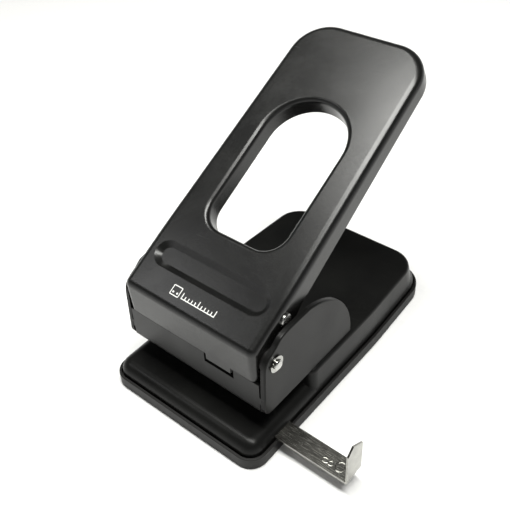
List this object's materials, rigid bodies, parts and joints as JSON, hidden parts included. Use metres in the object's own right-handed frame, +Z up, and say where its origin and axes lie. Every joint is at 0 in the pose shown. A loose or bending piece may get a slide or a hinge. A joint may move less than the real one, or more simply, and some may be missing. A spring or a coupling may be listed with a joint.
{
  "type": "hole punch",
  "caption": "Heavy-duty lever hole punch with a sheet-steel handle, side brackets, sprung punch pins, a sliding paper guide and a snap-off chip tray.",
  "frame": {"origin": "middle of the chip tray's underside, on the desk surface", "axes": "+Z up; +Y towards the handle's free end; paper goes in from -Y; the paper guide slides out along +X"},
  "size_m": [0.1651, 0.2013, 0.1747],
  "materials": {
    "black_paint": "satin black stove enamel",
    "tray_plastic": "fine-textured matte black",
    "foot_rubber": "matte",
    "zinc_steel": "zinc-plated",
    "hard_steel": "ground bright",
    "guide_steel": "bright sheet",
    "spring_steel": "bright spring wire and strip"
  },
  "bodies": {
    "base": {"base_plate": "black_paint", "side_bracket_right": "black_paint", "side_bracket_left": "black_paint", "bracket_screws": "zinc_steel", "bracket_nuts": "zinc_steel", "front_plate": "black_paint", "punch_guide": "zinc_steel", "die_plate": "zinc_steel", "die_bush_right": "hard_steel", "die_bush_left": "hard_steel", "die_screws": "zinc_steel", "guide_channel": "zinc_steel", "guide_spring": "spring_steel", "hinge_pin": "hard_steel", "hinge_clips": "spring_steel", "hinge_washers": "tray_plastic", "punch_spring_right": "spring_steel", "punch_spring_left": "spring_steel"},
    "lever": {"handle": "black_paint", "press_bar": "hard_steel", "press_bar_clips": "spring_steel", "hinge_sleeve": "zinc_steel"},
    "punch_right": {"punch_pin_right": "hard_steel", "spring_cap_right": "zinc_steel", "pin_clip_right": "spring_steel"},
    "punch_left": {"punch_pin_left": "hard_steel", "spring_cap_left": "zinc_steel", "pin_clip_left": "spring_steel"},
    "guide": {"paper_guide": "guide_steel"},
    "tray": {"chip_tray": "tray_plastic", "anti_slip_feet": "foot_rubber"}
  },
  "joints": [
    {"name": "handle_press", "type": "hinge", "parent": "base", "child": "lever", "pos_m": [0, -0.0696, 0.0672], "axis": [-1, 0, 0], "range_deg": [0, 36.5], "stiffness_Nm_per_rad": 0.8, "springref_deg": -34.38},
    {"name": "punch_drop_right", "type": "slide", "parent": "base", "child": "punch_right", "axis": [0, 0, -1], "range_m": [0, 0.0127], "deforming": ["punch_spring_right"]},
    {"name": "punch_drop_left", "type": "slide", "parent": "base", "child": "punch_left", "axis": [0, 0, -1], "range_m": [0, 0.0127], "deforming": ["punch_spring_left"]},
    {"name": "guide_slide", "type": "slide", "parent": "base", "child": "guide", "axis": [1, 0, 0], "range_m": [-0.032, 0.042]},
    {"name": "tray_release", "type": "slide", "parent": "base", "child": "tray", "axis": [0, 0, -1], "range_m": [0, 0.025]}
  ],
  "couplings": [
    {"joint": "punch_drop_right", "follows": "handle_press", "m_per_rad": 0.01978},
    {"joint": "punch_drop_left", "follows": "handle_press", "m_per_rad": 0.01978}
  ]
}
